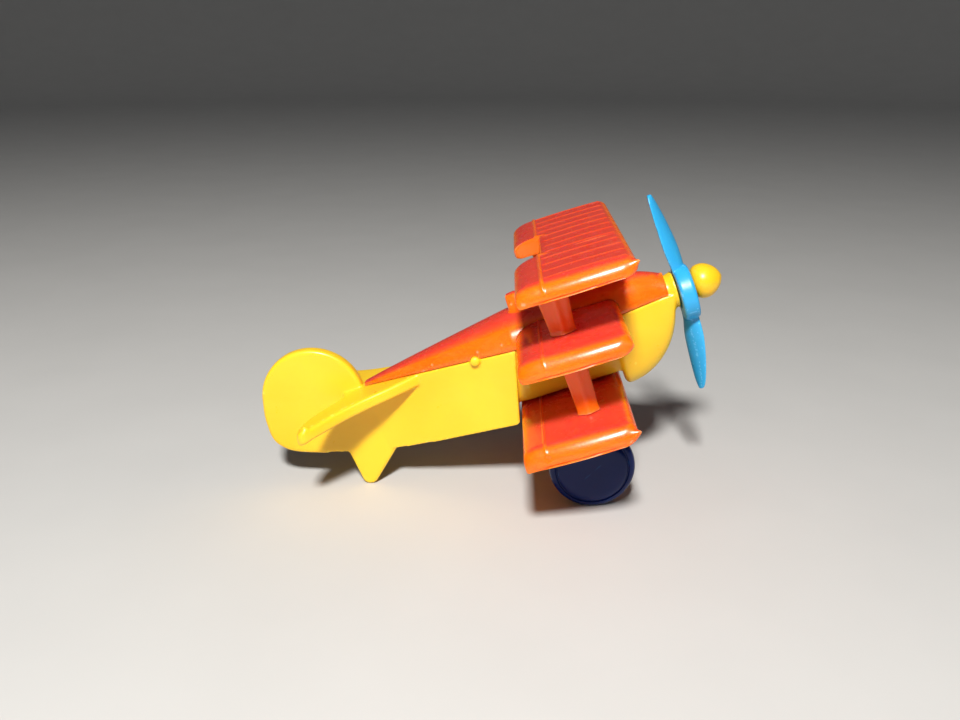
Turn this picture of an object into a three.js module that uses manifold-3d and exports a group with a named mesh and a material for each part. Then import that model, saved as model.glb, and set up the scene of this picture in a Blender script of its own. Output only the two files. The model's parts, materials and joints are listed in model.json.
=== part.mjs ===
// Toy triplane in coloured plastic, a snap-together model that stands on two wheels and a tail skid.
//
// Millimetres. Every piece is drawn in the aircraft's own frame: +X forward along the propeller shaft,
// +Y to the left wing tip, +Z up, with the shaft line at z = 0 and the skid tip at x = 0. At the end
// the whole aircraft is pitched nose-up onto its wheels and skid, and the origin is put on the ground
// below the middle of its box.

import * as THREE from 'three';
import { mergeVertices } from 'three/addons/utils/BufferGeometryUtils.js';
import Module from 'manifold-3d';

const wasm = await Module();
wasm.setup();

// ---- driving dimensions ----------------------------------------------------------------------

// Fuselage: a yellow tub with the nose and tail, closed by an orange deck along the shaft line.
const TAIL_LENGTH = 22.3;         // skid tip to the step behind the wing bay
const BAY_LENGTH = 10.6;          // wing bay, where the tub is shallower
const NOSE_LENGTH = 7.2;          // wing bay to the front face of the nose
const CHIN_BULGE = 0.5;           // how far the chin swells past that face
const FUSELAGE_WIDTH = 9.2;       // at the step
const NOSE_WIDTH = 7.2;           // at the back of the nose
const TAIL_WIDTH = 1.6;           // thickness of the tail, rudder and skid plates
const TUB_DEPTH = 8.7;
const CHIN_DEPTH = 9.05;
const CHIN_POWER = 2.1;           // of the superellipse down its front
const DECK_HEIGHT = 3.5;
const DECK_TIP_X = 3.9;
const WALL = 1.0;
const STEP_SLANT = 2.2;           // how far the step leans back over its depth
const HEADREST_HEIGHT = 1.6;

// Tail surfaces.
const RUDDER_RADIUS = 6.1;
const RUDDER_X = -2.5;
const RUDDER_Z = 0.3;
const RUDDER_HEEL = 1.1;          // how far the rudder's lower rear swells past its circle
const RUDDER_BEVEL = 0.35;
const TAILPLANE_SPAN = 19.6;
const TAILPLANE_THICKNESS = 1.4;
const SKID_DROP = 12.1;           // shaft line to the skid tip
const SKID_TIP_RADIUS = 1.0;
const SKID_TIP_X = 0.35;

// Wings, each a thick cambered plate with quarter-round ends.
const SPAN = 32.4;
const TIP_ROUNDING = 1.7;        // of the quarter-round that turns the top down to the tip
const TIP_EDGE = 0.3;            // height of the edge left below it
const TOP_WING = { chord: 12.1, thickness: 1.9, stagger: 2.6 };
const MIDDLE_WING = { chord: 11.7, thickness: 2.1, stagger: 0.5 };
const LOWER_WING = { chord: 12.0, thickness: 2.2, stagger: -1.8 };
const UPPER_GAP = 5.35;           // middle wing's top to the top wing's underside
const LOWER_GAP = 7.1;            // lower wing's top to the middle wing's underside
const CUTOUT_WIDTH = 9.3;         // notch in the top wing's trailing edge, above the cockpit
const CUTOUT_DEPTH = 3.1;

// Interplane struts.
const STRUT_SPACING = 20.4;
const STRUT_THICKNESS = 1.15;
const UPPER_STRUT_CHORD = [2.6, 3.5];   // bottom, top
const LOWER_STRUT_CHORD = [2.25, 2.75];
const TENON_LENGTH = 0.7;
const TENON_CHORD = 1.5;
const TENON_THICKNESS = 0.6;

// Undercarriage.
const AXLE_DROP = 6.55;           // lower wing's underside to the axle
const AXLE_SETBACK = 1.2;         // axle behind the middle of the wing bay
const AXLE_RADIUS = 0.8;
const WHEEL_PLAY = 0.4;            // leg's outer face to the wheel
const LEG_THICKNESS = 1.2;
const LEG_TOP_LENGTH = 6.0;
const EYE_RADIUS = 1.7;
const WHEEL_RADIUS = 4.9;
const WHEEL_INNER_FACE = 3.8;     // from the centre plane
const TYRE_WIDTH = 2.05;
const DOME_HEIGHT = 0.75;
const RIM_RADIUS = 4.1;

// Propeller and the headed pin that it turns on.
const PROP_DIAMETER = 23.5;
const HUB_RADIUS = 3.1;
const HUB_LENGTH = 1.75;
const BLADE_CHORD = 3.1;
const BLADE_THICKNESS = 0.95;
const BLADE_TWIST_ROOT = 44;      // degrees
const BLADE_TWIST_TIP = 22;
const BLADE_RAKE = 1.1;           // tips behind the hub
const SHAFT_RADIUS = 0.95;
const PIN_DEPTH = 4.6;            // shank inside the nose
const PROP_LOOSENESS = 0.75;      // hub bore radius over shaft radius
const KNOB_CATCH = 0.25;          // knob radius over hub bore radius
const KNOB_LENGTH = 3.2;
const BOSS_RADIUS = 2.1;
const BOSS_LENGTH = 1.0;

// Clearances.
const SEAT_GAP = 0.1;             // between faces that rest on each other
const FIT_GAP = 0.06;             // round a peg, pin or tenon pressed into its hole
const RUN_GAP = 0.05;             // round a turning shaft
const END_PLAY = 0.12;

// Assembly pegs that hold deck, middle wing, tub and lower wing together.
const PEG_RADIUS = 0.9;
const COLUMN_WALL = 0.8;
const KEEL_THICKNESS = 0.8;       // web along the middle of the tub and the deck
const KEEL_TOP = -1.2;
const REAR_PEG_SETBACK = 7.8;     // behind the step
const LUG_RADIUS = 0.55;
const LUG_SETBACK = 4.7;          // behind the step
const LUG_PROUD = 0.2;

// ---- places that follow from them ------------------------------------------------------------

const STEP_X = TAIL_LENGTH;
const NOSE_X = STEP_X + BAY_LENGTH;
const FACE_X = NOSE_X + NOSE_LENGTH;
const COLUMN_X = STEP_X + BAY_LENGTH / 2;
const REAR_PEG_X = STEP_X - REAR_PEG_SETBACK;
const LUG_X = STEP_X - LUG_SETBACK;
const DECK_BASE = SEAT_GAP;
const MIDDLE_WING_BASE = SEAT_GAP;
const MIDDLE_WING_TOP = MIDDLE_WING_BASE + MIDDLE_WING.thickness;
const TOP_WING_BASE = MIDDLE_WING_TOP + UPPER_GAP;
const LOWER_WING_TOP = MIDDLE_WING_BASE - LOWER_GAP;
const LOWER_WING_BASE = LOWER_WING_TOP - LOWER_WING.thickness;
const BELLY_BASE = LOWER_WING_TOP + SEAT_GAP;
const STRUT_X = COLUMN_X + 0.6;
const AXLE_X = COLUMN_X - AXLE_SETBACK;
const AXLE_Z = LOWER_WING_BASE - AXLE_DROP;
const LEG_SPACING = 2 * (WHEEL_INNER_FACE - WHEEL_PLAY) - LEG_THICKNESS;
const AXLE_LENGTH = 2 * (WHEEL_INNER_FACE + TYRE_WIDTH - 0.35);
const HUB_BORE = SHAFT_RADIUS + PROP_LOOSENESS;
const KNOB_RADIUS = HUB_BORE + KNOB_CATCH;
const HUB_REAR = FACE_X + BOSS_LENGTH + END_PLAY;
const HUB_FRONT = HUB_REAR + HUB_LENGTH;
const HUB_SAG = PROP_LOOSENESS - RUN_GAP;   // the loose hub hangs on the shaft
const MARGIN = 4;                            // how far cutting bodies overshoot
const FINEST = 0.006;                        // slivers below this are dropped from a finished piece

// ---- materials -------------------------------------------------------------------------------

const plastic = (color, roughness) => new THREE.MeshStandardMaterial({ color, roughness, metalness: 0 });
const yellow = () => plastic(0xfcd21c, 0.3);
const orange = () => plastic(0xfb4a12, 0.28);
const blue = () => plastic(0x1e9be8, 0.3);
const navy = () => plastic(0x0a1a3c, 0.35);

// ---- making solids ---------------------------------------------------------------------------

function toSolid(geometry) {
  const bare = geometry.clone();
  bare.deleteAttribute('normal');
  bare.deleteAttribute('uv');
  const merged = mergeVertices(bare, 1e-5);
  return new wasm.Manifold(new wasm.Mesh({
    numProp: 3,
    vertProperties: new Float32Array(merged.attributes.position.array),
    triVerts: new Uint32Array(merged.index.array),
  }));
}

function toGeometry(solid) {
  const mesh = solid.simplify(FINEST).getMesh();
  const geometry = new THREE.BufferGeometry();
  geometry.setAttribute('position', new THREE.BufferAttribute(mesh.vertProperties, 3));
  geometry.setIndex(new THREE.BufferAttribute(mesh.triVerts, 1));
  geometry.computeVertexNormals();
  return geometry;
}

const outline = (points) => new THREE.Shape(points.map(([u, v]) => new THREE.Vector2(u, v)));

// A side view in x and z, given thickness from y = low to y = high.
function fromSide(shape, low, high, bevel = 0) {
  const geometry = new THREE.ExtrudeGeometry(shape, {
    depth: high - low - 2 * bevel,
    bevelEnabled: bevel > 0,
    bevelThickness: bevel,
    bevelSize: bevel,
    bevelOffset: -bevel,
    bevelSegments: 2,
    curveSegments: 24,
  });
  return toSolid(geometry.rotateX(Math.PI / 2).translate(0, high - bevel, 0));
}

// A plan view in x and y, given height from z = low to z = high.
function fromPlan(shape, low, high) {
  const geometry = new THREE.ExtrudeGeometry(shape, {
    depth: high - low,
    bevelEnabled: false,
    curveSegments: 8,
  });
  return toSolid(geometry.translate(0, 0, low));
}

// A front view in y and z, given length from x = low to x = high.
function fromFront(shape, low, high) {
  const geometry = new THREE.ExtrudeGeometry(shape, {
    depth: high - low,
    bevelEnabled: false,
    curveSegments: 8,
  });
  const turn = new THREE.Matrix4().makeBasis(
    new THREE.Vector3(0, 1, 0),
    new THREE.Vector3(0, 0, 1),
    new THREE.Vector3(1, 0, 0),
  );
  return toSolid(geometry.applyMatrix4(turn).translate(low, 0, 0));
}

// A skin over rings of [x, y, z] points that run anticlockwise seen from in front, back ring first.
function loft(rings) {
  const count = rings[0].length;
  const positions = rings.flat();
  const faces = [];
  for (let i = 0; i + 1 < rings.length; i += 1) {
    for (let j = 0; j < count; j += 1) {
      const a = i * count + j;
      const b = i * count + ((j + 1) % count);
      faces.push(a, b, b + count, a, b + count, a + count);
    }
  }
  const last = (rings.length - 1) * count;
  for (let j = 1; j + 1 < count; j += 1) {
    faces.push(0, j + 1, j);
    faces.push(last, last + j, last + j + 1);
  }
  const geometry = new THREE.BufferGeometry();
  geometry.setAttribute('position', new THREE.Float32BufferAttribute(positions.flat(), 3));
  geometry.setIndex(faces);
  return toSolid(geometry);
}

// A turned piece on an axis along x, from [x, radius] points that start and end at radius 0.
function turnedX(profile, segments = 32) {
  const points = profile.map(([x, radius]) => new THREE.Vector2(radius, x));
  return toSolid(new THREE.LatheGeometry(points, segments).rotateZ(-Math.PI / 2));
}

// The same on an axis along y.
function turnedY(profile, segments = 40) {
  const points = profile.map(([y, radius]) => new THREE.Vector2(radius, y));
  return toSolid(new THREE.LatheGeometry(points, segments));
}

const rod = (low, high, radius) => [[low, 0], [low, radius], [high, radius], [high, 0]];
const rodX = (low, high, radius, segments = 24) => turnedX(rod(low, high, radius), segments);
const rodY = (low, high, radius, segments = 24) => turnedY(rod(low, high, radius), segments);

function rodZ(x, y, low, high, radius) {
  const shape = new THREE.Shape().absarc(x, y, radius, 0, 2 * Math.PI);
  return fromPlan(shape, low, high);
}

function box(x0, x1, halfWidth, z0, z1) {
  const geometry = new THREE.BoxGeometry(x1 - x0, 2 * halfWidth, z1 - z0);
  return toSolid(geometry.translate((x0 + x1) / 2, 0, (z0 + z1) / 2));
}

const smooth = (t) => t * t * (3 - 2 * t);
const mix = (a, b, t) => a + (b - a) * t;

// Half a superellipse, from the right side round to the left: up for sign 1, down for sign -1.
function arch(x, halfWidth, height, base, sign, power = 2.4, steps = 14) {
  const ring = [];
  for (let i = 0; i <= steps; i += 1) {
    const angle = sign > 0 ? (Math.PI * i) / steps : Math.PI + (Math.PI * i) / steps;
    const across = Math.cos(angle);
    const up = Math.abs(Math.sin(angle));
    const y = halfWidth * Math.sign(across) * Math.abs(across) ** (2 / power);
    ring.push([x, y, base + sign * height * up ** (2 / power)]);
  }
  return ring;
}

// ---- fuselage lines --------------------------------------------------------------------------

// Half-width of the fuselage at the seam: it grows in a straight line from the tail to the step,
// then narrows to the boss.
function halfWidth(x) {
  const tail = TAIL_WIDTH / 2;
  const wide = FUSELAGE_WIDTH / 2;
  const nose = NOSE_WIDTH / 2;
  if (x <= STEP_X) return mix(tail, wide, Math.max(0, (x - DECK_TIP_X) / (STEP_X - DECK_TIP_X)));
  if (x <= NOSE_X) return mix(wide, nose, (x - STEP_X) / BAY_LENGTH);
  return mix(nose, BOSS_RADIUS, smooth(Math.min(1, (x - NOSE_X) / NOSE_LENGTH)));
}

// Height of the deck's ridge over the seam.
function deckHeight(x) {
  if (x <= STEP_X) return mix(0.25, DECK_HEIGHT - 0.1, ((x - DECK_TIP_X) / (STEP_X - DECK_TIP_X)) ** 0.9);
  const start = NOSE_X + NOSE_LENGTH * 0.45;
  if (x <= start) return DECK_HEIGHT - 0.1;
  return mix(DECK_HEIGHT - 0.1, BOSS_RADIUS - 0.05, ((x - start) / (FACE_X - start)) ** 1.6);
}

function stations(from, to, steps) {
  return Array.from({ length: steps + 1 }, (unused, i) => mix(from, to, i / steps));
}

// ---- lower fuselage --------------------------------------------------------------------------

function tubShell() {
  const bottom = new THREE.SplineCurve([
    new THREE.Vector2(RUDDER_X, RUDDER_Z - RUDDER_RADIUS - 1),
    new THREE.Vector2(1.5, -7.95),
    new THREE.Vector2(TAIL_LENGTH * 0.25, -TUB_DEPTH + 0.2),
    new THREE.Vector2(TAIL_LENGTH * 0.45, -TUB_DEPTH),
  ]).getPoints(14);
  const side = outline([
    ...bottom.map((p) => [p.x, p.y]),
    [STEP_X - STEP_SLANT - 0.9, -TUB_DEPTH],
    [STEP_X - STEP_SLANT - 0.2, -TUB_DEPTH + 0.25],
    [STEP_X - STEP_SLANT, -TUB_DEPTH + 0.9],
    [STEP_X, 0],
    [RUDDER_X, 0],
  ]);
  const wide = FUSELAGE_WIDTH / 2;
  const tail = TAIL_WIDTH / 2;
  const rear = RUDDER_X - 1;
  const plan = outline([
    [rear, -tail], [DECK_TIP_X, -tail], [STEP_X, -wide],
    [STEP_X, wide], [DECK_TIP_X, tail], [rear, tail],
  ]);
  const inner = wide - WALL;
  const innerTip = DECK_TIP_X + (STEP_X - DECK_TIP_X) * 0.3;
  const hollow = fromPlan(
    outline([[innerTip, -0.8], [STEP_X - WALL, -inner], [STEP_X - WALL, inner], [innerTip, 0.8]]),
    -TUB_DEPTH + WALL,
    MARGIN,
  );
  const leaning = fromSide(
    outline([
      [innerTip, -TUB_DEPTH], [STEP_X - STEP_SLANT - WALL, -TUB_DEPTH], [STEP_X - WALL, 0],
      [STEP_X - WALL, MARGIN], [innerTip, MARGIN],
    ]),
    -FUSELAGE_WIDTH,
    FUSELAGE_WIDTH,
  );
  const outer = fromSide(side, -wide, wide).intersect(fromPlan(plan, -2 * TUB_DEPTH, MARGIN));
  return outer.subtract(hollow.intersect(leaning));
}

function belly() {
  const rings = stations(STEP_X - 1.2, NOSE_X + 1.2, 4);
  const outer = loft(rings.map((x) => arch(x, halfWidth(x) - 0.5, -BELLY_BASE, 0, -1, 5)));
  const from = STEP_X;
  const hollows = stations(from, NOSE_X + 1.2, 4);
  const inner = loft(hollows.map((x) => (
    arch(x, halfWidth(x) - 0.5 - WALL, -BELLY_BASE - WALL, MARGIN, -1, 5).map(([px, y, z]) => (
      [px, y, z > 0 ? z : z - MARGIN]))
  )));
  return outer.subtract(inner);
}

function chin() {
  const depthAt = (t) => CHIN_DEPTH * (1 - t ** CHIN_POWER) ** (1 / CHIN_POWER);
  const ts = [0, 0.15, 0.3, 0.45, 0.58, 0.7, 0.8, 0.88, 0.94, 0.98];
  const length = NOSE_LENGTH + CHIN_BULGE;
  const outer = loft(ts.map((t) => {
    const x = NOSE_X + length * t;
    return arch(x, halfWidth(x), Math.max(depthAt(t), BOSS_RADIUS), 0, -1, 2.5);
  }));
  const inner = loft(ts.slice(0, 7).map((t) => {
    const x = NOSE_X + WALL + (length - WALL) * t;
    return arch(x, halfWidth(x) - WALL, depthAt(t) - WALL, 0, -1, 2.5).map(([px, y, z]) => (
      [px, y, z > -1e-6 ? MARGIN : z]));
  }));
  return outer.subtract(inner);
}

// A disc whose lower rear swells into a heel that runs into the tub's bottom.
function rudder() {
  const angles = [175, 187, 205, 217, 232, 262];
  const swell = [0.12, 0.4, 1.08, 1.25, 1.05, 0.9];
  const reach = swell.map((share) => RUDDER_RADIUS + RUDDER_HEEL * share);
  const shape = new THREE.Shape();
  shape.absarc(RUDDER_X, RUDDER_Z, RUDDER_RADIUS, -Math.PI / 3, (160 / 180) * Math.PI);
  shape.splineThru(angles.map((angle, i) => new THREE.Vector2(
    RUDDER_X + reach[i] * Math.cos((angle / 180) * Math.PI),
    RUDDER_Z + reach[i] * Math.sin((angle / 180) * Math.PI),
  )));
  return fromSide(shape, -TAIL_WIDTH / 2, TAIL_WIDTH / 2, RUDDER_BEVEL);
}

function skid() {
  const bottom = -SKID_DROP + SKID_TIP_RADIUS;
  const shape = new THREE.Shape();
  shape.moveTo(SKID_TIP_X - SKID_TIP_RADIUS - 0.35, -6.5);
  shape.lineTo(SKID_TIP_X - SKID_TIP_RADIUS, bottom);
  shape.absarc(SKID_TIP_X, bottom, SKID_TIP_RADIUS, Math.PI, 2 * Math.PI - 0.85, false);
  shape.lineTo(SKID_TIP_X + 4.8, -8.2);
  shape.lineTo(SKID_TIP_X + 4.8, -6.5);
  return fromSide(shape, -TAIL_WIDTH / 2, TAIL_WIDTH / 2);
}

function tailplane() {
  const half = TAILPLANE_SPAN / 2;
  const edge = new THREE.SplineCurve([
    new THREE.Vector2(10.5, half * 0.23),
    new THREE.Vector2(7.3, half * 0.4),
    new THREE.Vector2(4.4, half * 0.53),
    new THREE.Vector2(1.7, half * 0.7),
    new THREE.Vector2(-1.2, half * 0.95),
    new THREE.Vector2(-2.2, half),
    new THREE.Vector2(-2.8, half * 0.92),
    new THREE.Vector2(-2.3, half * 0.66),
    new THREE.Vector2(-0.6, half * 0.42),
    new THREE.Vector2(1.2, half * 0.24),
  ]).getPoints(30);
  const left = edge.map((p) => [p.x, p.y]);
  const right = edge.map((p) => [p.x, -p.y]).reverse();
  const shape = outline([[10.9, 1.5], ...left, ...right, [10.9, -1.5]]);
  return fromPlan(shape, -TAILPLANE_THICKNESS, -0.001);
}

function column(x, floor, top) {
  return rodZ(x, 0, floor, top, PEG_RADIUS + FIT_GAP + COLUMN_WALL);
}

function keel() {
  const half = KEEL_THICKNESS / 2;
  const bellyStart = STEP_X - STEP_SLANT - WALL;
  return box(REAR_PEG_X - 3, bellyStart + 0.2, half, -TUB_DEPTH + 0.2, KEEL_TOP)
    .add(box(bellyStart, NOSE_X + 0.6, half, BELLY_BASE + 0.2, KEEL_TOP));
}

function lugs() {
  const reach = halfWidth(LUG_X) + LUG_PROUD;
  const bar = rodY(-reach, reach, LUG_RADIUS, 20).translate([LUG_X, 0, 0]);
  return bar.subtract(box(LUG_X - MARGIN, LUG_X + MARGIN, reach - LUG_PROUD - WALL, -MARGIN, MARGIN));
}

function lowerFuselage() {
  const boss = turnedX([
    [FACE_X - PIN_DEPTH - 0.6, 0],
    [FACE_X - PIN_DEPTH - 0.6, SHAFT_RADIUS + WALL],
    [FACE_X - 0.3, SHAFT_RADIUS + WALL],
    [FACE_X + SEAT_GAP, BOSS_RADIUS - 0.2],
    [FACE_X + BOSS_LENGTH, BOSS_RADIUS],
    [FACE_X + BOSS_LENGTH, 0],
  ]);
  const shankHole = rodX(FACE_X - PIN_DEPTH, FACE_X + BOSS_LENGTH + MARGIN, SHAFT_RADIUS + FIT_GAP);
  const pegHole = PEG_RADIUS + FIT_GAP;
  return tubShell()
    .add(belly())
    .add(chin())
    .add(rudder())
    .add(skid())
    .add(tailplane())
    .add(lugs())
    .add(keel())
    .add(column(REAR_PEG_X, -TUB_DEPTH + 0.2, -1.5))
    .add(column(COLUMN_X, BELLY_BASE + 0.2, -1))
    .add(boss)
    .subtract(shankHole)
    .subtract(rodZ(REAR_PEG_X, 0, -TUB_DEPTH + WALL, MARGIN, pegHole))
    .subtract(rodZ(COLUMN_X, 0, BELLY_BASE - MARGIN, MARGIN, pegHole));
}

// ---- wings -----------------------------------------------------------------------------------

const trailingEdge = (wing) => STEP_X + wing.stagger;

// Section of a wing: flat underside, cambered top, rounded nose and a rolled-down tail.
function wingSection(wing, base, grow = 0) {
  const rear = trailingEdge(wing) - grow;
  const front = trailingEdge(wing) + wing.chord + grow;
  const low = base - grow;
  const high = base + wing.thickness + grow;
  const shape = new THREE.Shape();
  shape.moveTo(rear + 0.5, low);
  shape.lineTo(front - 0.7, low);
  shape.quadraticCurveTo(front, low, front, low + 0.6);
  shape.quadraticCurveTo(front, low + 1.1, front - 1.0, high - 0.25);
  shape.quadraticCurveTo(mix(rear, front, 0.7), high, mix(rear, front, 0.4), high);
  shape.lineTo(rear + 2.6, high);
  shape.quadraticCurveTo(rear + 0.9, high - 0.1, rear, low + 0.75);
  shape.quadraticCurveTo(rear, low, rear + 0.5, low);
  return shape;
}

function wingBody(wing, base) {
  const half = SPAN / 2;
  const section = fromSide(wingSection(wing, base), -half, half);
  const inner = half - TIP_ROUNDING;
  const rise = wing.thickness - TIP_EDGE;
  const front = new THREE.Shape();
  front.moveTo(-half, base);
  front.lineTo(half, base);
  front.lineTo(half, base + TIP_EDGE);
  front.absellipse(inner, base + TIP_EDGE, TIP_ROUNDING, rise, 0, Math.PI / 2);
  front.absellipse(-inner, base + TIP_EDGE, TIP_ROUNDING, rise, Math.PI / 2, Math.PI);
  const rear = trailingEdge(wing);
  return section.intersect(fromFront(front, rear - MARGIN, rear + wing.chord + MARGIN));
}

function pockets(x, base, top) {
  const pocket = new THREE.Shape();
  const chord = TENON_CHORD / 2 + FIT_GAP;
  const thick = TENON_THICKNESS / 2 + FIT_GAP;
  pocket.moveTo(x - chord, -thick);
  pocket.lineTo(x + chord, -thick);
  pocket.lineTo(x + chord, thick);
  pocket.lineTo(x - chord, thick);
  const one = fromPlan(pocket, base, top);
  const y = STRUT_SPACING / 2;
  return one.translate([0, y, 0]).add(one.translate([0, -y, 0]));
}

function topWing() {
  const rear = trailingEdge(TOP_WING);
  const notch = new THREE.Shape();
  const half = CUTOUT_WIDTH / 2;
  notch.moveTo(rear - MARGIN, -half);
  notch.lineTo(rear + CUTOUT_DEPTH, -half);
  notch.lineTo(rear + CUTOUT_DEPTH, half);
  notch.lineTo(rear - MARGIN, half);
  return wingBody(TOP_WING, TOP_WING_BASE)
    .subtract(fromPlan(notch, TOP_WING_BASE - MARGIN, TOP_WING_BASE + MARGIN))
    .subtract(pockets(STRUT_X, TOP_WING_BASE - MARGIN, TOP_WING_BASE + TENON_LENGTH + SEAT_GAP));
}

function middleWing() {
  const depth = TENON_LENGTH + SEAT_GAP;
  return wingBody(MIDDLE_WING, MIDDLE_WING_BASE)
    .subtract(pockets(STRUT_X, MIDDLE_WING_TOP - depth, MIDDLE_WING_TOP + MARGIN))
    .subtract(pockets(STRUT_X, MIDDLE_WING_BASE - MARGIN, MIDDLE_WING_BASE + depth))
    .subtract(rodZ(COLUMN_X, 0, MIDDLE_WING_BASE - MARGIN, MIDDLE_WING_TOP + MARGIN, PEG_RADIUS + FIT_GAP));
}

function legSlot(side) {
  const y = (side * LEG_SPACING) / 2;
  const slot = box(
    AXLE_X - LEG_TOP_LENGTH / 2 + 0.8 - FIT_GAP,
    AXLE_X + LEG_TOP_LENGTH / 2 - 0.8 + FIT_GAP,
    LEG_THICKNESS / 2 - 0.2 + FIT_GAP,
    LOWER_WING_BASE - MARGIN,
    LOWER_WING_BASE + TENON_LENGTH + SEAT_GAP,
  );
  return slot.translate([0, y, 0]);
}

function lowerWing() {
  const pegTop = BELLY_BASE + 2.4;
  return wingBody(LOWER_WING, LOWER_WING_BASE)
    .subtract(pockets(STRUT_X, LOWER_WING_TOP - TENON_LENGTH - SEAT_GAP, LOWER_WING_TOP + MARGIN))
    .subtract(legSlot(1))
    .subtract(legSlot(-1))
    .add(rodZ(COLUMN_X, 0, LOWER_WING_TOP - 1, pegTop, PEG_RADIUS));
}

// ---- deck ------------------------------------------------------------------------------------

function upperDeck() {
  const xs = [
    ...stations(DECK_TIP_X, STEP_X, 8),
    ...stations(STEP_X, FACE_X, 12).slice(1),
  ];
  const outer = loft(xs.map((x) => arch(x, halfWidth(x), deckHeight(x), DECK_BASE, 1, 2.1)));
  const hollowXs = stations(DECK_TIP_X + 7, NOSE_X + NOSE_LENGTH * 0.45, 6);
  const inner = loft(hollowXs.map((x) => (
    arch(x, halfWidth(x) - WALL, deckHeight(x) - WALL, DECK_BASE, 1, 2.1).map(([px, y, z]) => (
      [px, y, z < DECK_BASE + 1e-6 ? -MARGIN : z]))
  )));
  const web = outer.intersect(box(REAR_PEG_X - 2, STEP_X + 1, KEEL_THICKNESS / 2, DECK_BASE, MARGIN));
  const wing = fromSide(wingSection(MIDDLE_WING, MIDDLE_WING_BASE, SEAT_GAP), -SPAN, SPAN)
    .add(box(trailingEdge(MIDDLE_WING) + 1, trailingEdge(MIDDLE_WING) + 3, SPAN, -MARGIN, 1));
  const bossRoom = rodX(NOSE_X - 1, FACE_X + MARGIN, SHAFT_RADIUS + WALL + SEAT_GAP, 28);
  const lugRoom = rodY(-SPAN, SPAN, LUG_RADIUS + SEAT_GAP, 20).translate([LUG_X, 0, 0]);
  const foot = MIDDLE_WING_TOP + 2 * SEAT_GAP;
  const top = DECK_HEIGHT + HEADREST_HEIGHT - foot;
  const headrest = loft([[0, 0.75, 0], [0.25, 0.95, 0.25], [1.3, 1.15, 0.3], [1.9, 1.2, 0]].map(
    ([along, half, rise]) => arch(STEP_X + 0.4 + along, half, top + rise, foot, 1, 2.6),
  ));
  const cockpitX = STEP_X + 4.2;
  const cockpit = new THREE.Shape();
  cockpit.absellipse(cockpitX, 0, 2.0, 1.7, 0, 2 * Math.PI);
  return outer
    .subtract(inner)
    .add(web)
    .subtract(wing)
    .subtract(bossRoom)
    .subtract(lugRoom)
    .add(headrest)
    .subtract(fromPlan(cockpit, MIDDLE_WING_TOP + SEAT_GAP + 0.1, 3 * MARGIN))
    .add(rodZ(REAR_PEG_X, 0, -5, DECK_BASE + deckHeight(REAR_PEG_X) - 0.3, PEG_RADIUS))
    .add(rodZ(COLUMN_X, 0, -3.6, DECK_BASE + DECK_HEIGHT - 0.5, PEG_RADIUS));
}

// ---- struts and undercarriage ----------------------------------------------------------------

// A strut of lens section that widens upward, with a rib down its middle and a tenon at each end.
function strut(base, top, chords) {
  const ring = (z, chord) => {
    const half = chord / 2;
    const thick = STRUT_THICKNESS / 2;
    const points = [
      [half, 0], [half * 0.7, thick * 0.6], [0.45, thick * 0.7], [0.3, thick],
      [-0.3, thick], [-0.45, thick * 0.7], [-half * 0.7, thick * 0.6], [-half, 0],
      [-half * 0.7, -thick * 0.6], [-0.45, -thick * 0.7], [-0.3, -thick],
      [0.3, -thick], [0.45, -thick * 0.7], [half * 0.7, -thick * 0.6],
    ];
    return points.map(([x, y]) => [z, x, y]);
  };
  const height = top - base;
  const bar = loft([ring(0, chords[0]), ring(height, chords[1])]);
  const upright = bar.transform([0, 0, 1, 0, 1, 0, 0, 0, 0, 1, 0, 0, 0, 0, 0, 1]);
  const tenon = toSolid(new THREE.BoxGeometry(TENON_CHORD, TENON_THICKNESS, height + 2 * TENON_LENGTH));
  return upright.add(tenon.translate([0, 0, height / 2])).translate([STRUT_X, 0, base]);
}

function upperStrut() {
  return strut(MIDDLE_WING_TOP + SEAT_GAP, TOP_WING_BASE - SEAT_GAP, UPPER_STRUT_CHORD);
}

function lowerStrut() {
  return strut(LOWER_WING_TOP + SEAT_GAP, MIDDLE_WING_BASE - SEAT_GAP, LOWER_STRUT_CHORD);
}

// A V-shaped leg: a triangle with an open middle, an eye for the axle and a tenon along its top.
function leg() {
  const top = LOWER_WING_BASE - SEAT_GAP;
  const half = LEG_TOP_LENGTH / 2;
  const shape = outline([
    [AXLE_X - EYE_RADIUS, AXLE_Z], [AXLE_X + EYE_RADIUS, AXLE_Z], [AXLE_X + half, top], [AXLE_X - half, top],
  ]);
  const window = outline([
    [AXLE_X - 0.35, AXLE_Z + EYE_RADIUS + 0.3], [AXLE_X + 0.35, AXLE_Z + EYE_RADIUS + 0.3],
    [AXLE_X + half - 1.45, top - 1], [AXLE_X - half + 1.45, top - 1],
  ]);
  const y = LEG_THICKNESS / 2;
  const tenon = box(AXLE_X - half + 0.8, AXLE_X + half - 0.8, y - 0.2, top - 0.5, top + SEAT_GAP + TENON_LENGTH);
  return fromSide(shape, -y, y)
    .add(rodY(-y, y, EYE_RADIUS, 28).translate([AXLE_X, 0, AXLE_Z]))
    .subtract(fromSide(window, -MARGIN, MARGIN))
    .add(tenon)
    .subtract(rodY(-MARGIN, MARGIN, AXLE_RADIUS + RUN_GAP, 28).translate([AXLE_X, 0, AXLE_Z]));
}

function axle() {
  return rodY(-AXLE_LENGTH / 2, AXLE_LENGTH / 2, AXLE_RADIUS, 28).translate([AXLE_X, 0, AXLE_Z]);
}

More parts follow.
